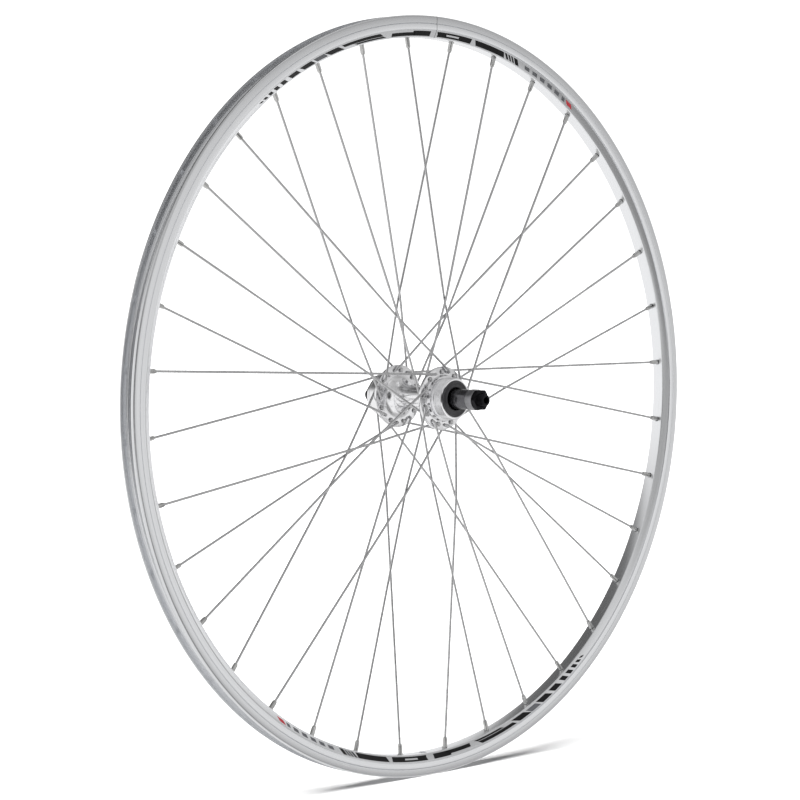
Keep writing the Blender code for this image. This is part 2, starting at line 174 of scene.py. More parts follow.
def spun(outline, steps):
    # A closed outline of (radius, place, corner rounding) in mm, turned round the axle; 0 keeps a corner sharp.
    profile = bmesh.new()
    corners = [profile.verts.new((radius * mm, place * mm, 0)) for radius, place, _ in outline]
    profile.faces.new(corners)
    for corner, (_, _, rounding) in zip(corners, outline):
        if rounding:
            bmesh.ops.bevel(profile, geom=[corner], offset=rounding * mm, offset_type="OFFSET",
                            affect="VERTICES", segments=roundSteps, profile=0.5, material=-1)
    bmesh.ops.delete(profile, geom=profile.faces[:], context="FACES_ONLY")
    bmesh.ops.spin(profile, geom=profile.verts[:] + profile.edges[:], cent=(0, 0, 0), axis=(0, 1, 0),
                   angle=fullTurn, steps=steps, use_merge=True)
    bmesh.ops.remove_doubles(profile, verts=profile.verts, dist=weldDistance)
    bmesh.ops.recalc_face_normals(profile, faces=profile.faces)
    return profile


def merged(shape, extra):
    # Adds one bmesh to another.
    mesh = bpy.data.meshes.new("extra")
    extra.to_mesh(mesh)
    extra.free()
    shape.from_mesh(mesh)
    bpy.data.meshes.remove(mesh)
    return shape


def addPin(shape, start, end, radius, sides=24):
    line = end - start
    turn = line.to_track_quat("Z", "Y").to_matrix().to_4x4()
    bmesh.ops.create_cone(shape, cap_ends=True, segments=sides, radius1=radius * mm, radius2=radius * mm,
                          depth=line.length, matrix=Matrix.Translation((start + end) / 2) @ turn)


def addThread(shape, crest, depth, pitch, start, stop, steps=40):
    # A screw thread: one V-shaped ridge wound round the axle, with a small flat on its crest.
    ridge = bmesh.new()
    foot = crest - depth
    footHalf, crestHalf = pitch * 0.46, pitch * 0.06
    points = [(foot, -footHalf), (crest, -crestHalf), (crest, crestHalf), (foot, footHalf)]
    corners = [ridge.verts.new((radius * mm, (start + place) * mm, 0)) for radius, place in points]
    ridge.faces.new(corners)
    turns = abs(stop - start) / pitch
    count = round(turns * steps)
    climb = (stop - start) / count * mm
    bmesh.ops.spin(ridge, geom=ridge.verts[:] + ridge.edges[:] + ridge.faces[:], cent=(0, 0, 0),
                   axis=(0, 1, 0), dvec=(0, climb, 0), angle=fullTurn * turns, steps=count, use_merge=False)
    bmesh.ops.recalc_face_normals(ridge, faces=ridge.faces)
    return merged(shape, ridge)


def mathNode(tree, operation, *values):
    return addNode(tree, "ShaderNodeMath", {"operation": operation}, dict(enumerate(values))).outputs[0]


def rangeNode(tree, value, start, stop, low=0.0, high=1.0, smooth=False):
    # Carries start to stop over to low to high, and holds both ends.
    settings = {"interpolation_type": "SMOOTHSTEP"} if smooth else {}
    inputs = {"Value": value, "From Min": start, "From Max": stop, "To Min": low, "To Max": high}
    return addNode(tree, "ShaderNodeMapRange", settings, inputs).outputs[0]


def noiseNode(tree, where, size, detail):
    # Noise whose cells are about size mm across.
    inputs = {"Vector": where, "Scale": 1 / (size * mm), "Detail": detail}
    return addNode(tree, "ShaderNodeTexNoise", inputs=inputs).outputs[0]


def ringNode(tree, place, size, detail, roughness=0.5):
    # Noise along one measure only, which makes turned rings about size mm apart.
    inputs = {"W": place, "Scale": 1 / (size * mm), "Detail": detail, "Roughness": roughness}
    return addNode(tree, "ShaderNodeTexNoise", {"noise_dimensions": "1D"}, inputs).outputs[0]


def blendNode(tree, share, first, second):
    # From first at a share of 0 to second at a share of 1.
    return addNode(tree, "ShaderNodeMix", {"data_type": "FLOAT"}, {0: share, 2: first, 3: second}).outputs[0]


def setColour(tree, shader, share, first, second):
    mixed = addNode(tree, "ShaderNodeMix", {"data_type": "RGBA"},
                    {0: share, 6: linear(first), 7: linear(second)})
    tree.links.new(mixed.outputs[2], shader.inputs["Base Color"])


def setBump(tree, shader, height, strength, depth):
    # The depth is in mm.
    bump = addNode(tree, "ShaderNodeBump",
                   inputs={"Height": height, "Strength": strength, "Distance": depth * mm})
    tree.links.new(bump.outputs[0], shader.inputs["Normal"])


# Finishes.

# Lengths in mm, streaksPerRadian and seamTurn by the angle round the axle.
anodisedSizes = {
    "ringSpacing": 0.9, "trackFrom": (305.4, 305.8), "wallFrom": (8.4, 8.8), "ringShade": 0.94,
    # Two of these entries paint shade across the brake track: the radii it runs over, and its darkest level at
    # the bead edge.
    "paintedShadeOver": (305.5, 316.5), "paintedShadeEdge": 0.84, "streaksPerRadian": 7.5, "streakWidth": 1.0,
    "streakShade": 0.98, "seamTurn": (0.0005, 0.0014), "seamShade": 0.3, "gloss": (0.24, 0.28),
}


def anodisedAluminium(sizes):
    # Extruded rim, silver anodised, with brake tracks turned on a lathe: satin, with fine rings.
    finish, tree, shader = newFinish("anodisedAluminium", "#dfe0e2", 1.0, 0.3)
    radius, place, angle = roundTheAxle(tree)
    # Real turning marks are 0.15 mm apart, drawn at 0.9 mm so that they show, and only on the side walls.
    rings = ringNode(tree, radius, sizes["ringSpacing"], 3.0, 0.6)
    above = rangeNode(tree, radius, *(limit * mm for limit in sizes["trackFrom"]))
    aside = mathNode(tree, "ABSOLUTE", place)
    onWall = rangeNode(tree, aside, *(limit * mm for limit in sizes["wallFrom"]))
    track = mathNode(tree, "MULTIPLY", above, onWall)
    ringShade = rangeNode(tree, rings, 0.3, 0.7, sizes["ringShade"], 1.0)
    ringShare = blendNode(tree, track, 1.0, ringShade)
    # Painted shade: the track's colour darkens from the hub side out to the bead edge, in place of the light
    # that a turned crown would catch.
    inner, outer = (limit * mm for limit in sizes["paintedShadeOver"])
    paintedShade = rangeNode(tree, radius, inner, outer, 1.0, sizes["paintedShadeEdge"], smooth=True)
    # Drawing streaks run along the extrusion, some 40 mm long and 1 mm wide.
    streakPlace = addNode(tree, "ShaderNodeCombineXYZ",
                          inputs={"X": mathNode(tree, "MULTIPLY", angle, sizes["streaksPerRadian"]),
                                  "Y": mathNode(tree, "MULTIPLY", radius, 1 / (sizes["streakWidth"] * mm)),
                                  "Z": mathNode(tree, "MULTIPLY", place, 1 / (sizes["streakWidth"] * mm))})
    streaks = addNode(tree, "ShaderNodeTexNoise",
                      inputs={"Vector": streakPlace.outputs[0], "Scale": 1.0, "Detail": 4.0}).outputs[0]
    # The rolled extrusion's ends meet in one hairline opposite the valve hole.
    fromSeam = mathNode(tree, "SUBTRACT", angle, math.pi / 2 + wheel["restTurn"])
    seam = rangeNode(tree, mathNode(tree, "ABSOLUTE", fromSeam), *sizes["seamTurn"], sizes["seamShade"])
    streakShade = rangeNode(tree, streaks, 0.3, 0.7, sizes["streakShade"], 1.0)
    shade = ringShare
    for layer in (paintedShade, streakShade, seam):
        shade = mathNode(tree, "MULTIPLY", shade, layer)
    setColour(tree, shader, shade, "#1d1e20", "#eff0f2")
    tree.links.new(rangeNode(tree, streaks, 0.25, 0.75, *sizes["gloss"]), shader.inputs["Roughness"])
    setBump(tree, shader, ringShare, 0.1, 0.02)
    return finish


def polishedAluminium():
    # Forged hub shell, turned and buffed: near mirror, with faint rings and handling haze.
    finish, tree, shader = newFinish("polishedAluminium", "#ebebed", 1.0, 0.14)
    radius, place, _ = roundTheAxle(tree)
    rings = ringNode(tree, mathNode(tree, "ADD", radius, place), 0.7, 2.0)
    haze = noiseNode(tree, objectPlace(tree), 9, 3.0)
    setColour(tree, shader, rings, "#e9e9eb", "#f8f8f9")
    tree.links.new(rangeNode(tree, haze, 0.3, 0.7, 0.1, 0.22), shader.inputs["Roughness"])
    setBump(tree, shader, rings, 0.2, 0.01)
    return finish


def plainMetal(name, dark, light, roughness, grain):
    # A steel or brass finish whose tone and gloss wander over a few millimetres, with a fine grain.
    finish, tree, shader = newFinish(name, light, 1.0, roughness)
    where = objectPlace(tree)
    tone = noiseNode(tree, where, 5, 4.0)
    setColour(tree, shader, rangeNode(tree, tone, 0.3, 0.7), dark, light)
    gloss = rangeNode(tree, tone, 0.3, 0.7, roughness * 0.8, roughness * 1.2)
    tree.links.new(gloss, shader.inputs["Roughness"])
    setBump(tree, shader, noiseNode(tree, where, grain, 2.0), 0.1, 0.01)
    return finish


def mouldedNylon():
    # Injection-moulded dust caps: charcoal, matt, with a fine spark-eroded texture of 0.3 mm.
    finish, tree, shader = newFinish("mouldedNylon", "#3a3a3d", 0.0, 0.5)
    where = objectPlace(tree)
    grain = addNode(tree, "ShaderNodeTexVoronoi", inputs={"Vector": where, "Scale": 1 / (0.3 * mm)})
    setColour(tree, shader, noiseNode(tree, where, 6, 3.0), "#262628", "#363638")
    setBump(tree, shader, grain.outputs[0], 0.3, 0.03)
    return finish


def vinylFilm(name, colour, worn):
    # Printed vinyl under a clear layer: even colour with a slight orange peel.
    finish, tree, shader = newFinish(name, colour, 0.0, 0.3)
    shader.inputs["Specular IOR Level"].default_value = 0.2
    printed = noiseNode(tree, objectPlace(tree), 0.8, 3.0)
    setColour(tree, shader, printed, colour, worn)
    setBump(tree, shader, printed, 0.1, 0.02)
    return finish


finishes = {
    "rim": anodisedAluminium(anodisedSizes),
    "hub": polishedAluminium(),
    "spoke": plainMetal("drawnStainlessSteel", "#bdbdbe", "#c9c9ca", 0.28, 0.4),
    "nipple": plainMetal("nickelPlatedBrass", "#b9b9b8", "#cbcbca", 0.25, 0.5),
    "bearing": plainMetal("groundBearingSteel", "#5f5f62", "#6c6c6f", 0.25, 0.3),
    "zinc": plainMetal("zincPlatedSteel", "#909093", "#9c9c9e", 0.35, 0.5),
    "black": plainMetal("blackOxideSteel", "#1c1c1e", "#2c2c2f", 0.3, 0.4),
    "nylon": mouldedNylon(),
    "blackFilm": vinylFilm("blackVinyl", "#080809", "#131314"),
    "greyFilm": vinylFilm("greyVinyl", "#46474a", "#58595c"),
    "redFilm": vinylFilm("redVinyl", "#8e1f26", "#a83a40"),
}
report("finishes made")


# Rim.

rimSizes = {
    "outer": 317.0, "halfWidth": 9.0, "corner": 1.7, "steps": 360,
    "bed": 299.0, "bedHalf": 5.5, "bedRound": 0.6, "wallTop": 1.0, "wallInset": 0.5, "wallRound": 0.1,
    "trackEnd": 305.6, "trackStep": 0.7, "stepFrom": 0.5, "stepTo": 0.1, "trackRound": 0.12,
    "grooveAt": 310.4, "grooveHalf": 0.4, "grooveDepth": 0.8, "grooveRound": 0.1,
    "hookLip": 6.4, "lipRound": 0.35, "hookDepth": 2.2, "hookRound": 0.4,
    "seat": 311.0, "seatHalf": 7.4, "seatRound": 0.5, "well": 308.5, "wellHalf": 4.4, "wellSlope": 1.25,
    "wellRound": 0.8, "wall": 1.6, "cavityFloor": 4.3, "cavityKnee": 4.9, "kneeUp": 1.2, "cavityTop": 5.8,
    "nippleHole": 2.4, "accessHole": 3.5, "valveHole": 3.25, "drillPast": 1.0, "drillInside": 1.5,
}


def nippleAngle(index):
    return math.pi / 2 + spokeStep * (index + 0.5) + wheel["restTurn"]


def mirrored(side):
    # One half of a section becomes a closed outline across the wheel's middle plane.
    return [(r, -y, c) for r, y, c in side] + [(r, y, c) for r, y, c in reversed(side)]


def rimShape(sizes):
    half = sizes["halfWidth"]
    bed, well, outer = sizes["bed"], sizes["well"], sizes["outer"]
    trackEnd, grooveAt = sizes["trackEnd"], sizes["grooveAt"]
    side = [
        (bed, sizes["bedHalf"], sizes["bedRound"]),
        (trackEnd - sizes["wallTop"], half - sizes["wallInset"], sizes["wallRound"]),
        (trackEnd - sizes["stepFrom"], half - sizes["trackStep"], 0),
        (trackEnd - sizes["stepTo"], half - sizes["trackStep"], 0),
        (trackEnd, half, sizes["trackRound"]),
        (grooveAt - sizes["grooveHalf"], half, 0),
        (grooveAt, half - sizes["grooveDepth"], sizes["grooveRound"]),
        (grooveAt + sizes["grooveHalf"], half, 0),
        (outer, half, sizes["corner"]),
        (outer, sizes["hookLip"], sizes["lipRound"]),
        (outer - sizes["hookDepth"], sizes["seatHalf"], sizes["hookRound"]),
        (sizes["seat"], sizes["seatHalf"], sizes["seatRound"]),
        (sizes["seat"], sizes["wellHalf"] + sizes["wellSlope"], sizes["seatRound"]),
        (well, sizes["wellHalf"], sizes["wellRound"]),
    ]
    shape = spun(mirrored(side), sizes["steps"])
    floor = bed + sizes["wall"]
    ceiling = well - sizes["wall"]
    cavity = [(floor, sizes["cavityFloor"], 0), (floor + sizes["kneeUp"], sizes["cavityKnee"], 0),
              (ceiling, sizes["cavityTop"], 0)]
    cutter = spun(mirrored(cavity), sizes["steps"] // 2)
    # Each hole is (angle, radius in the spoke bed, radius in the tyre bed).
    holes = [(nippleAngle(index), sizes["nippleHole"], sizes["accessHole"])
             for index in range(wheel["spokes"])]
    holes.append((-math.pi / 2 + wheel["restTurn"], sizes["valveHole"], sizes["valveHole"]))
    for angle, bedHole, wellHole in holes:
        for start, stop, radius in ((bed - sizes["drillPast"], floor + sizes["drillInside"], bedHole),
                                    (ceiling - sizes["drillInside"], well + sizes["drillPast"], wellHole)):
            addPin(cutter, wheelPoint(start, angle, 0), wheelPoint(stop, angle, 0), radius)
    return cutShape(shape, cutter)


addPiece("rimBody", rimShape(rimSizes), finishes["rim"], "wheel", ["rim"])
report("rim turned and drilled")


# Rim trim films.

filmSizes = {
    "lowRadius": 300.2, "lowPlace": 6.15, "highRadius": 304.2, "highPlace": 8.3,
    "lift": 0.04, "thickness": 0.06, "degreesPerStep": 0.5,
}
# Each mark is (start degrees, end degrees, low, high, slant degrees); low and high are shares of the wall.
blackMarks = [
    (128.6, 128.0, 0.3, 0.7, 0.3), (127.6, 126.9, 0.2, 0.8, 0.3), (126.4, 125.6, 0.1, 0.9, 0.3),
    (125.0, 124.1, 0.05, 0.95, 0.35), (123.4, 122.3, 0.0, 1.0, 0.4), (121.4, 119.4, 0.0, 1.0, 0.5),
    (118.6, 116.0, 0.0, 1.0, 0.6), (112.8, 109.8, 0.0, 1.0, 0.8), (109.4, 101.0, 0.4, 1.0, 0.4),
    (106.6, 100.2, 0.0, 0.32, 0.4), (98.8, 92.2, 0.0, 0.7, 0.0), (94.2, 90.4, 0.0, 1.0, 0.0),
    (88.8, 82.4, 0.66, 1.0, 0.0), (88.8, 82.4, 0.0, 0.34, 0.0), (88.8, 86.8, 0.0, 1.0, 0.2),
    (84.0, 81.2, 0.0, 1.0, 0.0), (80.2, 73.4, 0.0, 1.0, 0.3),
    (73.0, 72.5, 0.05, 1.0, 0.5), (72.2, 71.8, 0.05, 1.0, 0.5), (71.5, 71.1, 0.05, 1.0, 0.5),
    (70.8, 69.9, 0.0, 1.0, 0.5),
]
greyMarks = [
    (115.6, 113.2, 0.1, 1.0, 0.5), (68.2, 67.0, 0.2, 0.8, 0.2), (66.2, 65.0, 0.2, 0.8, 0.2),
    (64.2, 63.0, 0.2, 0.8, 0.2), (62.2, 61.0, 0.2, 0.8, 0.2), (60.2, 59.0, 0.2, 0.8, 0.2),
    (58.2, 57.4, 0.2, 0.8, 0.2),
]
redMarks = [(56.9, 55.4, 0.25, 0.85, 0.4)]


def wallPoint(sizes, share, side):
    radius = sizes["lowRadius"] + (sizes["highRadius"] - sizes["lowRadius"]) * share
    place = sizes["lowPlace"] + (sizes["highPlace"] - sizes["lowPlace"]) * share + sizes["lift"]
    return radius, side * place


def filmShape(sizes, marks):
    # Every mark lies on both walls and again half a turn further round.
    shape = bmesh.new()
    for side in (-1, 1):
        for half in (0, math.pi):
            for start, end, low, high, slant in marks:
                first, last = math.radians(start) + half, math.radians(end) + half
                lean = math.radians(slant)
                ends = []
                for share, turn in ((low, -lean), (high, lean)):
                    radius, place = wallPoint(sizes, share, side)
                    ends.append(shape.verts.new(wheelPoint(radius, first + turn, place)))
                edge = shape.edges.new(ends)
                steps = max(1, round(abs(end - start) / sizes["degreesPerStep"]))
                bmesh.ops.spin(shape, geom=ends + [edge], cent=(0, 0, 0), axis=(0, 1, 0),
                               angle=first - last, steps=steps, use_merge=False)
    for face in shape.faces:
        face.normal_update()
        if face.normal.y * face.calc_center_median().y < 0:
            face.normal_flip()
    bmesh.ops.solidify(shape, geom=shape.faces[:], thickness=sizes["thickness"] * mm)
    bmesh.ops.recalc_face_normals(shape, faces=shape.faces)
    return shape


for colour, marks in (("Black", blackMarks), ("Grey", greyMarks), ("Red", redMarks)):
    film = finishes[colour.lower() + "Film"]
    addPiece("rimFilm" + colour, filmShape(filmSizes, marks), film, "wheel", [])
report("trim films laid on both walls")


# Hub shell.

hubSizes = {
    "flangeRadius": 26.5, "flangeEdge": 0.8, "flangeRoot": 0.3, "waist": 9.5, "waistBore": 6.5, "steps": 144,
    "flareLength": 14.6, "flareFoot": 19.2, "flareSteps": 14, "leftEnd": 54.5, "rightEnd": -34.9,
    "drum": 16.68, "drumRound": 0.4, "fillet": 1.6, "bore": 15.18, "boreDepth": 13.2, "boreRound": 0.2,
    "lineFrom": 2.4, "lineTo": 3.4, "lineSlope": 0.2, "lineDepth": 0.3,
    "thread": 17.45, "threadDepth": 0.6, "threadPitch": 1.058, "threadSteps": 72, "threadLead": 0.8,
    "threadSink": 0.1,
    "shoulder": 18.95, "shoulderFace": -23.9, "shoulderRound": 0.35, "collarRise": 0.5, "collarDrop": 0.6,
    "reliefDepth": 0.2, "reliefRound": 0.2, "reliefWidth": 1.2, "reliefSlope": 0.3, "endChamfer": 0.6,
    "hole": 1.3, "holeSides": 16, "drillPast": 1.0,
}


def flangePlace(index):
    return wheel["leftFlange"] if index % 2 else wheel["rightFlange"]


def flarePoints(sizes, face, side):
    # From the waist out to the flange's inner face, as a quarter of an ellipse.
    points = []
    for step in range(sizes["flareSteps"] + 1):
        turn = math.pi / 2 * step / sizes["flareSteps"]
        radius = sizes["waist"] + (sizes["flareFoot"] - sizes["waist"]) * (1 - math.cos(turn))
        points.append((radius, side * (face - sizes["flareLength"] * (1 - math.sin(turn))), 0))
    return points


def hubShape(sizes):
    half = wheel["flangeThickness"] / 2
    left, right = wheel["leftFlange"], wheel["rightFlange"]
    leftEnd, rightEnd, face = sizes["leftEnd"], sizes["rightEnd"], sizes["shoulderFace"]
    drum, bore, shoulder = sizes["drum"], sizes["bore"], sizes["shoulder"]
    edge, flange, foot = sizes["flangeEdge"], sizes["flangeRadius"], sizes["flangeRoot"]
    root = sizes["thread"] - sizes["threadDepth"]
    relief = root - sizes["reliefDepth"]
    lineFloor = drum - sizes["lineDepth"]
    outline = [
        (bore, leftEnd, sizes["boreRound"]),
        (drum, leftEnd, sizes["drumRound"]),
        (drum, leftEnd - sizes["lineFrom"], 0),
        (lineFloor, leftEnd - sizes["lineFrom"] - sizes["lineSlope"], 0),
        (lineFloor, leftEnd - sizes["lineTo"] + sizes["lineSlope"], 0),
        (drum, leftEnd - sizes["lineTo"], 0),
        (drum, left + half + foot, sizes["fillet"]),
        (drum + 2 * sizes["fillet"], left + half, foot),
        (flange, left + half, edge),
        (flange, left - half, edge),
    ]
    outline += reversed(flarePoints(sizes, left - half, 1))
    outline += flarePoints(sizes, -right - half, -1)
    outline += [
        (flange, right + half, edge),
        (flange, right - half, edge),
        (shoulder + sizes["collarRise"], right - half, foot),
        (shoulder, right - half - sizes["collarDrop"], foot),
        (shoulder, face, sizes["shoulderRound"]),
        (relief, face, sizes["reliefRound"]),
        (relief, face - sizes["reliefWidth"], 0),
        (root, face - sizes["reliefWidth"] - sizes["reliefSlope"], 0),
        (root, rightEnd + sizes["endChamfer"], 0),
        (root - sizes["endChamfer"], rightEnd, 0),
        (bore, rightEnd, sizes["boreRound"]),
        (bore, rightEnd + sizes["boreDepth"], 0),
        (sizes["waistBore"], rightEnd + sizes["boreDepth"], 0),
        (sizes["waistBore"], leftEnd - sizes["boreDepth"], 0),
        (bore, leftEnd - sizes["boreDepth"], 0),
    ]
    shape = spun(outline, sizes["steps"])
    cutter = bmesh.new()
    reach = half + sizes["drillPast"]
    for index in range(wheel["spokes"]):
        ends = [wheelPoint(wheel["holeCircle"], nippleAngle(index), flangePlace(index) + way)
                for way in (-reach, reach)]
        addPin(cutter, *ends, sizes["hole"], sizes["holeSides"])
    shape = cutShape(shape, cutter)
    return addThread(shape, sizes["thread"], sizes["threadDepth"] + sizes["threadSink"], sizes["threadPitch"],
                     face - sizes["reliefWidth"] - sizes["reliefSlope"] - sizes["endChamfer"],
                     rightEnd + sizes["threadLead"], sizes["threadSteps"])


addPiece("hubShell", hubShape(hubSizes), finishes["hub"], "wheel", ["hub_shell"])
report("hub shell turned, drilled and threaded")


# Spokes and nipples.

spokeSizes = {
    "wire": 1.0, "head": 2.1, "headThickness": 1.2, "elbow": 2.4, "elbowSteps": 6, "gap": 0.3,
    "sides": 14, "bendReach": 7.0, "intoNipple": 0.5,
    # The domed head, as shares of its thickness and its radius.
    "headShape": [(1.0, 0.45), (0.85, 0.78), (0.5, 1.0), (0.15, 1.0), (0.0, 0.92)],
}
nippleSizes = {
    "body": 2.0, "flatHalf": 1.68, "reach": 9.5, "flatStart": 1.6, "flatEnd": 7.4, "flatMargin": 0.1,
    "seatGap": 0.7, "bedHalfWall": 0.8, "steps": 24,
    # Radius and height, first from the mouth up, then from the underside of the head up.
    "mouth": [(0.95, 0.2), (1.35, 0.0), (1.6, 0.15), (1.8144, 1.2)],
    "headShape": [(2.6, 0.0), (2.8, 0.3), (2.604, 1.3), (2.016, 2.21), (1.26, 2.6), (0.5, 2.2)],
}


def spokePath(index):
    # Spokes come in fours: right and left running outside their flange, then right and left inside.
    place = flangePlace(index)
    side = 1 if place > 0 else -1
    run = 1 if index % 4 in (0, 1) else -1
    rimAngle = nippleAngle(index)
    lead = 2 * spokeStep * wheel["crossings"]
    hubAngle = rimAngle - run * lead
    hole = wheelPoint(wheel["holeCircle"], hubAngle, 0) + Vector((0, place * mm, 0))
    seat = wheelPoint(wheel["spokeSeat"], rimAngle, 0)
    along = Vector((seat.x - hole.x, 0, seat.z - hole.z))
    ray = wheelPoint(1, hubAngle + run * (lead - spokeStep), 0)
    share = (hole.z * ray.x - hole.x * ray.z) / (along.x * ray.z - along.z * ray.x)
    crossing = hole + along * share
    crossing.y = place * mm * (1 - share) - side * run * (spokeSizes["wire"] + spokeSizes["gap"] / 2) * mm
    return hole, crossing, seat, along.normalized(), side * run


def placeAlong(centre, direction):
    # A matrix at centre whose Z axis points in direction.
    return Matrix.Translation(centre) @ direction.to_track_quat("Z", "Y").to_matrix().to_4x4()


def wireShape(index, sizes):
    hole, crossing, seat, level, out = spokePath(index)
    across = Vector((0, out, 0))
    half = wheel["flangeThickness"] / 2 * mm
    face = hole + across * half
    head = hole - across * (half + sizes["gap"] * mm)
    thick = sizes["headThickness"] * mm
    # Each station is (centre, direction, radius in mm).
    stations = [(head - across * thick * depth, across, sizes["head"] * width)
                for depth, width in sizes["headShape"]]
    stations += [(head, across, sizes["wire"]), (face, across, sizes["wire"])]
    for step in range(1, sizes["elbowSteps"] + 1):
        turn = math.pi / 2 * step / sizes["elbowSteps"]
        bend = sizes["elbow"] * mm
        stations.append((face + level * bend * (1 - math.cos(turn)) + across * bend * math.sin(turn),
                         level * math.sin(turn) + across * math.cos(turn), sizes["wire"]))
    before = (crossing - stations[-1][0]).normalized()
    after = (seat - crossing).normalized()
    reach = sizes["bendReach"] * mm
    end = seat - after * nippleSizes["reach"] * mm * sizes["intoNipple"]
    for centre, direction in ((crossing - before * reach, before), (crossing, (before + after).normalized()),
                              (crossing + after * reach, after), (end, after)):
        stations.append((centre, direction, sizes["wire"]))
    shape = bmesh.new()
    side = level.cross(across)
    place = None
    ring = bmesh.ops.create_circle(shape, cap_ends=True, segments=sizes["sides"], radius=mm)["verts"]
    for centre, direction, radius in stations:
        third = direction.cross(side).normalized()
        turned = Matrix((side, third, direction)).transposed().to_4x4()
        target = Matrix.Translation(centre) @ turned @ Matrix.Diagonal((radius, radius, 1, 1))
        if place is not None:
            border = list({edge for vert in ring for edge in vert.link_edges
                           if edge.other_vert(vert) in ring})
            made = bmesh.ops.extrude_edge_only(shape, edges=border)["geom"]
            ring = [part for part in made if isinstance(part, bmesh.types.BMVert)]
            bmesh.ops.transform(shape, matrix=target @ place.inverted(), verts=ring)
        else:
            bmesh.ops.transform(shape, matrix=target, verts=ring)
        place = target
    bmesh.ops.contextual_create(shape, geom=ring)
    bmesh.ops.recalc_face_normals(shape, faces=shape.faces)
    return shape


def nippleShape(index, sizes):
    # Drawn at the origin with its head towards +Z and its seat at zero, then moved to its spoke.
    _, crossing, seat, _, _ = spokePath(index)
    top = sizes["bedHalfWall"] + sizes["seatGap"]
    bottom = -sizes["reach"]
    points = [(radius, bottom + height) for radius, height in sizes["mouth"]]
    points += [(sizes["body"], bottom + sizes["flatStart"]), (sizes["body"], bottom + sizes["flatEnd"]),
               (sizes["body"], top)]
    points += [(radius, top + height) for radius, height in sizes["headShape"]]
    shape = bmesh.new()
    corners = [shape.verts.new((radius * mm, 0, height * mm)) for radius, height in points]
    edges = [shape.edges.new(pair) for pair in zip(corners, corners[1:])]
    bmesh.ops.spin(shape, geom=corners + edges, cent=(0, 0, 0), axis=(0, 0, 1), angle=fullTurn,
                   steps=sizes["steps"], use_merge=True)
    bmesh.ops.remove_doubles(shape, verts=shape.verts, dist=weldDistance)
    limit = sizes["flatHalf"] * mm
    low = (bottom + sizes["flatStart"] - sizes["flatMargin"]) * mm
    high = (bottom + sizes["flatEnd"] + sizes["flatMargin"]) * mm
    for vert in shape.verts:
        if low < vert.co.z < high:
            vert.co.x = max(-limit, min(limit, vert.co.x))
            vert.co.y = max(-limit, min(limit, vert.co.y))
    bmesh.ops.holes_fill(shape, edges=[edge for edge in shape.edges if edge.is_boundary], sides=0)
    bmesh.ops.recalc_face_normals(shape, faces=shape.faces)
    bmesh.ops.transform(shape, matrix=placeAlong(seat, (seat - crossing).normalized()), verts=shape.verts)
    return shape


def copyTurned(source, name, turn):
    mesh = source.copy()
    mesh.name = name
    mesh.transform(Matrix.Rotation(-turn, 4, "Y"))
    return mesh


for kind in range(4):
    for part, shapeOf, sizes, finish in (("spokeWire", wireShape, spokeSizes, "spoke"),
                                         ("nipple", nippleShape, nippleSizes, "nipple")):
        source = bpy.data.meshes.new("source")
        made = shapeOf(kind, sizes)
        made.to_mesh(source)
        made.free()
        for group in range(wheel["spokes"] // 4):
            index = kind + 4 * group
            name = f"{part}{index + 1:02d}"
            addMesh(name, copyTurned(source, name, 4 * spokeStep * group), finishes[finish], "wheel",
                    [f"spoke_{index + 1:02d}"])
        bpy.data.meshes.remove(source)
report("spokes laced and nipples set")


# Bearings.

bearingSizes = {
    "circle": 10.204, "ball": 3.175, "balls": 9, "ballDepth": 7.6, "cupRadius": 14.88, "cupLength": 6.2,
    "cupHole": 9.5, "cageOffset": 0.9, "cageHalf": 0.8, "cageLength": 1.4, "race": 3.475,
    "cupRace": (-10, 80), "steps": 96,
}
capSizes = {
    "hole": 9.6, "sheet": 1.4, "proud": 0.4, "gap": 0.3, "lip": 1.0, "dish": 0.25, "innerSlope": 0.3,
    "outerSlope": 0.4, "dishEdge": 0.2,
}
coneSizes = {
    "radius": 8.3, "hole": 5.3, "noseWall": 1.3, "raceEnd": 170, "flatHalf": 7.5, "leftFlats": 4.0,
    "rightFlats": 10.0, "cutDepth": 10.0, "cutHeight": 40.0, "cutPast": 1.0, "steps": 96,
}


def racePoints(sizes, first, last, steps=10):
    points = []
    for step in range(steps + 1):
        turn = math.radians(first + (last - first) * step / steps)
        points.append((sizes["circle"] + sizes["race"] * math.cos(turn),
                       sizes["ballDepth"] + sizes["race"] * math.sin(turn), 0))
    return points


def fromEnd(points, end, side):
    # Depths are measured inwards from the end of the hub shell.
    return [(radius, side * (end - depth), rounding) for radius, depth, rounding in points]


def cupShape(sizes, end, side):
    outer = sizes["ballDepth"] - sizes["cageOffset"]
    inner = outer + sizes["cupLength"]
    points = [(sizes["cupRadius"], inner, 0.3), (sizes["cupRadius"], outer, 0.2)]
    points += racePoints(sizes, *sizes["cupRace"])
    points += [(sizes["cupHole"], sizes["ballDepth"] + sizes["race"], 0.2), (sizes["cupHole"], inner, 0.2)]
    return spun(fromEnd(points, end, side), sizes["steps"])


def cageShape(sizes, end, side):
    inner = sizes["ballDepth"] - sizes["cageOffset"]
    outer = inner - sizes["cageLength"]
    low = sizes["circle"] - sizes["cageHalf"]
    high = sizes["circle"] + sizes["cageHalf"]
    points = [(low, outer, 0.3), (high, outer, 0.3), (high, inner, 0.2), (low, inner, 0.2)]
    shape = spun(fromEnd(points, end, side), sizes["steps"])
    for index in range(sizes["balls"]):
        place = wheelPoint(sizes["circle"], fullTurn * index / sizes["balls"], 0)
        place.y = side * (end - sizes["ballDepth"]) * mm
        bmesh.ops.create_uvsphere(shape, u_segments=32, v_segments=16, radius=sizes["ball"] * mm,
                                  matrix=Matrix.Translation(place))
    return shape


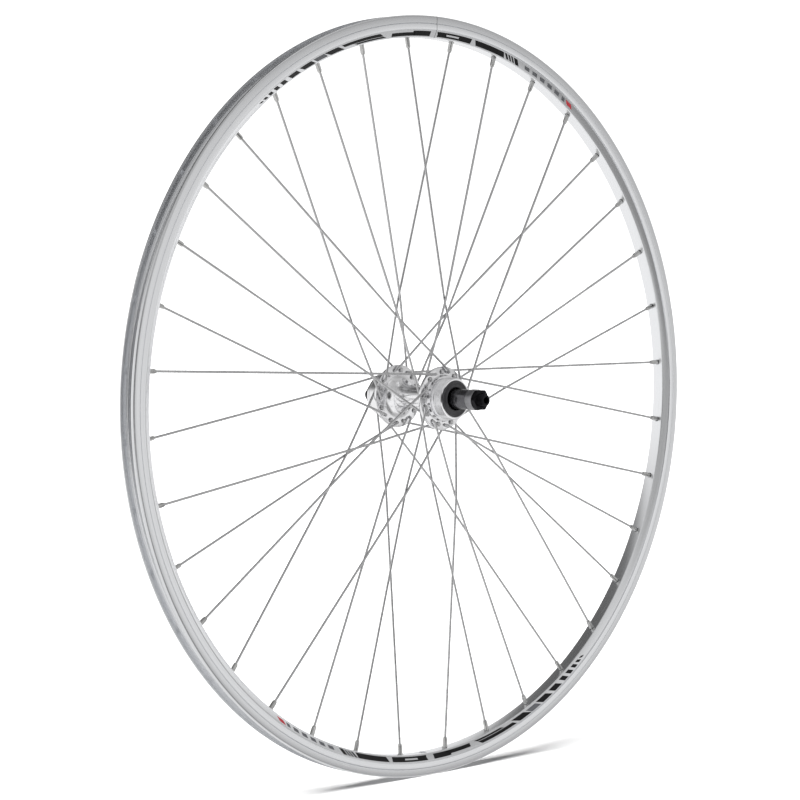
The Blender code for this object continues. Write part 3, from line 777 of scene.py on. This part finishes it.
def capShape(sizes, end, side):
    cup = bearingSizes["cupRadius"]
    wallEnd = bearingSizes["ballDepth"] - bearingSizes["cageOffset"] - sizes["gap"]
    wall = cup - sizes["sheet"]
    face, floor = -sizes["proud"], sizes["dish"] - sizes["proud"]
    lip, rim = sizes["hole"] + sizes["lip"], wall - sizes["dishEdge"]
    points = [
        (cup, face, 0.5), (cup, wallEnd, 0.15), (wall, wallEnd, 0.15), (wall, sizes["sheet"], 0.4),
        (sizes["hole"], sizes["sheet"], 0.2), (sizes["hole"], face, 0.35),
        (lip, face, 0.1), (lip + sizes["innerSlope"], floor, 0.1),
        (rim - sizes["outerSlope"], floor, 0.1), (rim, face, 0.1),
    ]
    return spun(fromEnd(points, end, side), bearingSizes["steps"])


def coneShape(sizes, end, side, seat, flats):
    radius = sizes["radius"]
    shoulder = math.degrees(math.acos((bearingSizes["circle"] - radius) / bearingSizes["race"]))
    nose = bearingSizes["ballDepth"] + bearingSizes["race"] / 2
    depth = end - seat
    points = [(sizes["hole"], depth, 0.3), (radius, depth, 0.35)]
    points += racePoints(bearingSizes, 180 + shoulder, sizes["raceEnd"])
    points += [(sizes["hole"] + sizes["noseWall"], nose, 0.2), (sizes["hole"], nose, 0.2)]
    shape = spun(fromEnd(points, end, side), sizes["steps"])
    # Two blocks cut the wrench flats.
    cutter = bmesh.new()
    past = sizes["cutPast"]
    size = Vector((sizes["cutDepth"], flats + 2 * past, sizes["cutHeight"])) * mm
    aside = sizes["flatHalf"] + sizes["cutDepth"] / 2
    for way in (-1, 1):
        middle = Vector((way * aside, side * (seat - flats / 2 + past), 0)) * mm
        placed = Matrix.Translation(middle) @ Matrix.Diagonal((*size, 1))
        bmesh.ops.create_cube(cutter, size=1.0, matrix=placed)
    return cutShape(shape, cutter)


for name, end, side in (("left", hubSizes["leftEnd"], 1), ("right", -hubSizes["rightEnd"], -1)):
    label = name.capitalize()
    addPiece("bearingCup" + label, cupShape(bearingSizes, end, side), finishes["bearing"], "wheel",
             ["bearing_cup_" + name])
    addPiece("ballRetainer" + label, cageShape(bearingSizes, end, side), finishes["bearing"], "balls_" + name,
             ["ball_cage_" + name])
    addPiece("dustCap" + label, capShape(capSizes, end, side), finishes["nylon"], "wheel",
             ["dust_cap_" + name])
    low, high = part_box("cone_" + name)
    seat = max(abs(low.y), abs(high.y)) / mm
    flats = coneSizes[name + "Flats"]
    addPiece("cone" + label, coneShape(coneSizes, end, side, seat, flats), finishes["bearing"], "axle_set",
             ["cone_" + name])
report("bearings assembled")


# Axle, washers, spacer and locknuts.

axleSizes = {
    "radius": 5.0, "bore": 2.75, "boreRound": 0.25, "endRound": 0.3, "threadDepth": 0.55, "threadPitch": 1.0,
    "threadLength": 14.0, "threadLead": 0.6, "threadSink": 0.05, "washer": 8.2, "washerHole": 5.3,
    "washerRound": 0.2, "spacer": 8.7, "spacerRound": 0.35, "steps": 72,
}
nutSizes = {
    "flats": 16.0, "hole": 5.3, "chamfer": 0.9, "recess": 0.35, "recessEdge": 0.1, "holeChamfer": 0.4,
    "teeth": 36, "toothIn": 6.1, "toothOut": 7.5, "toothDepth": 0.3, "toothHalf": 0.45, "toothTaper": 0.85,
    "cutPast": 1.0, "steps": 96,
}


def axleShape(sizes, end):
    root = sizes["radius"] - sizes["threadDepth"]
    boreRound, endRound = sizes["boreRound"], sizes["endRound"]
    shape = spun([(sizes["bore"], -end, boreRound), (root, -end, endRound), (root, end, endRound),
                  (sizes["bore"], end, boreRound)], sizes["steps"])
    for side in (-1, 1):
        addThread(shape, sizes["radius"], sizes["threadDepth"] + sizes["threadSink"], sizes["threadPitch"],
                  side * (end - sizes["threadLead"]), side * (end - sizes["threadLength"]))
    return shape


def nutShape(sizes, seat, face, side):
    # A plain hexagon with turned chamfers, and a ring of gripping teeth on its outer face.
    corner = sizes["flats"] / 2 / math.cos(math.pi / 6)
    chamfer = sizes["chamfer"]
    hole, lead = sizes["hole"], sizes["holeChamfer"]
    floor = face - sizes["recess"]
    recess = sizes["toothOut"] + sizes["recessEdge"]
    points = [
        (hole, seat, 0.3), (corner - chamfer, seat, 0), (corner, seat + chamfer / 2, 0),
        (corner, face - chamfer / 2, 0), (corner - chamfer, face, 0), (recess, face, 0), (recess, floor, 0),
        (hole + lead, floor, 0), (hole, floor - lead, 0),
    ]
    shape = spun([(radius, side * place, rounding) for radius, place, rounding in points], sizes["steps"])
    hexagon = bmesh.new()
    turn = Matrix.Rotation(math.pi / 2, 4, "X") @ Matrix.Rotation(math.pi / 2, 4, "Z")
    bmesh.ops.create_cone(hexagon, cap_ends=True, segments=6, radius1=corner * mm, radius2=corner * mm,
                          depth=2 * (face + sizes["cutPast"]) * mm, matrix=turn)
    shape = cutShape(shape, hexagon, "INTERSECT")
    teeth = bmesh.new()
    half = sizes["toothDepth"] / 2
    length = (sizes["toothOut"] - sizes["toothIn"]) / 2
    size = Matrix.Diagonal((length * mm, half * mm, sizes["toothHalf"] * mm, 1))
    for index in range(sizes["teeth"]):
        angle = fullTurn * index / sizes["teeth"]
        middle = wheelPoint(sizes["toothIn"] + length, angle, side * (floor + half))
        turn = Matrix.Translation(middle) @ Matrix.Rotation(-angle, 4, "Y")
        made = bmesh.ops.create_cube(teeth, size=2.0, matrix=turn @ size)["verts"]
        outward = wheelPoint(1, angle, 0).normalized()
        for vert in made:
            if side * vert.co.y > (floor + half) * mm:  # the crest is drawn in to a ridge
                aside = vert.co - outward * vert.co.dot(outward)
                aside.y = 0
                vert.co -= aside * sizes["toothTaper"]
    return merged(shape, teeth)


def addRing(name, node, outer, rounding):
    # A washer or spacer on the axle, as long as its CAD node.
    low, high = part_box(node)
    inner = axleSizes["washerHole"]
    start, stop = low.y / mm, high.y / mm
    corners = [(inner, start), (outer, start), (outer, stop), (inner, stop)]
    shape = spun([(radius, place, rounding) for radius, place in corners], axleSizes["steps"])
    addPiece(name, shape, finishes["zinc"], "axle_set", [node])


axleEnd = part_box("axle")[1].y / mm
addPiece("axleTube", axleShape(axleSizes, axleEnd), finishes["black"], "axle_set", ["axle"])
for name, side in (("left", 1), ("right", -1)):
    label = name.capitalize()
    low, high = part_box("locknut_" + name)
    seat, face = sorted((abs(low.y) / mm, abs(high.y) / mm))
    addPiece("locknut" + label, nutShape(nutSizes, seat, face, side), finishes["black"], "axle_set",
             ["locknut_" + name])
    addRing("lockWasher" + label, "lock_washer_" + name, axleSizes["washer"], axleSizes["washerRound"])
addRing("spacerRight", "spacer_right", axleSizes["spacer"], axleSizes["spacerRound"])
report("axle set fitted")


# Floor, light and camera.

studio = {
    "floorRadius": 60.0, "floorSides": 96, "sunStrength": 6.4, "sunAngle": math.radians(50),
    "sunFrom": (-0.5, -0.15, 1.0), "skyFade": (0.0, 0.9), "skyTop": 0.5, "seenSky": 1.3, "floorShare": 0.07,
    "azimuth": math.radians(-44.63), "elevation": math.radians(2.81), "distance": 2.177, "lens": 117.0,
    "sensor": 36.0, "shift": (-0.0325, -0.0033),
}
# Soft screens round the wheel: where each hangs, its half angle and its edge's fade in degrees, and the
# share of light that it leaves.
screens = [
    ((-0.70, -0.71, 0.05), 14, 10, 0.06),
    ((0.14, -0.88, -0.45), 13, 14, 0.28),
    ((-0.05, 0.71, 0.70), 24, 18, 0.22),
    ((0.76, -0.56, 0.34), 16, 14, 0.62),
    ((0.66, -0.50, -0.54), 15, 13, 0.55),
    ((-0.1, -0.98, 0.05), 12, 14, 0.42),
    ((0.15, 0.15, 0.97), 14, 9, 1.9),
]


def floorFinish():
    # Seamless studio paper: white, dead matt, with a faint fibre.
    finish, tree, shader = newFinish("seamlessPaper", "#ffffff", 0.0, 0.9)
    fibre = addNode(tree, "ShaderNodeTexNoise",
                    inputs={"Vector": objectPlace(tree), "Scale": 120.0, "Detail": 2.0})
    setColour(tree, shader, fibre.outputs[0], "#fdfdfd", "#ffffff")
    shader.inputs["Specular IOR Level"].default_value = 0.1
    return finish


def addFloor(sizes):
    shape = bmesh.new()
    bmesh.ops.create_circle(shape, cap_ends=True, segments=sizes["floorSides"], radius=sizes["floorRadius"])
    bmesh.ops.transform(shape, matrix=Matrix.Translation((0, 0, cadBounds[0][2])), verts=shape.verts)
    mesh = bpy.data.meshes.new("paperFloor")
    shape.to_mesh(mesh)
    shape.free()
    mesh.materials.append(floorFinish())
    floor = bpy.data.objects.new("paperFloor", mesh)
    bpy.context.scene.collection.objects.link(floor)
    floor.visible_glossy = False  # bright metal shows the tent all round instead


def addSky(sizes):
    # An even white tent with grey screens, so that bright metal has something to show.
    world = bpy.data.worlds.new("lightTent")
    world.use_nodes = True
    bpy.context.scene.world = world
    tree = world.node_tree
    background = tree.nodes["Background"]
    way = addNode(tree, "ShaderNodeTexCoord").outputs["Generated"]
    split = addNode(tree, "ShaderNodeSeparateXYZ", inputs={"Vector": way})
    level = rangeNode(tree, split.outputs["Z"], *sizes["skyFade"], 1.0, sizes["skyTop"], smooth=True)
    for toward, half, fade, share in screens:
        card = addNode(tree, "ShaderNodeVectorMath", {"operation": "DOT_PRODUCT"},
                       {0: way, 1: Vector(toward).normalized()})
        edge, core = math.cos(math.radians(half + fade)), math.cos(math.radians(half))
        shade = rangeNode(tree, card.outputs["Value"], edge, core, 1.0, share, smooth=True)
        level = mathNode(tree, "MULTIPLY", level, shade)
    path = addNode(tree, "ShaderNodeLightPath")
    soft = mathNode(tree, "MULTIPLY", level, sizes["floorShare"])
    dimmed = blendNode(tree, path.outputs["Is Diffuse Ray"], level, soft)
    bright = blendNode(tree, path.outputs["Is Camera Ray"], dimmed, sizes["seenSky"])
    tree.links.new(bright, background.inputs["Strength"])
    background.inputs["Color"].default_value = linear("#ffffff")


def addSun(sizes):
    # One wide overhead light: it draws the thin soft shadow where the wheel stands.
    light = bpy.data.lights.new("overheadLight", "SUN")
    light.energy = sizes["sunStrength"]
    light.angle = sizes["sunAngle"]
    lamp = bpy.data.objects.new("overheadLight", light)
    lamp.rotation_euler = Vector(sizes["sunFrom"]).to_track_quat("Z", "Y").to_euler()
    lamp.visible_glossy = False  # metal mirrors the tent's own bright card, not a second one
    bpy.context.scene.collection.objects.link(lamp)


def addCamera(sizes):
    lens = bpy.data.cameras.new("view")
    lens.lens = sizes["lens"]
    lens.sensor_width = sizes["sensor"]
    lens.shift_x, lens.shift_y = sizes["shift"]
    camera = bpy.data.objects.new("view", lens)
    turn, lift = sizes["azimuth"], sizes["elevation"]
    back = Vector((math.sin(turn) * math.cos(lift), -math.cos(turn) * math.cos(lift), math.sin(lift)))
    camera.location = back * sizes["distance"]
    camera.rotation_euler = back.to_track_quat("Z", "Y").to_euler()
    bpy.context.scene.collection.objects.link(camera)
    bpy.context.scene.camera = camera


addFloor(studio)
addSky(studio)
addSun(studio)
addCamera(studio)
bpy.context.scene.view_settings.view_transform = "Standard"
report("studio set")
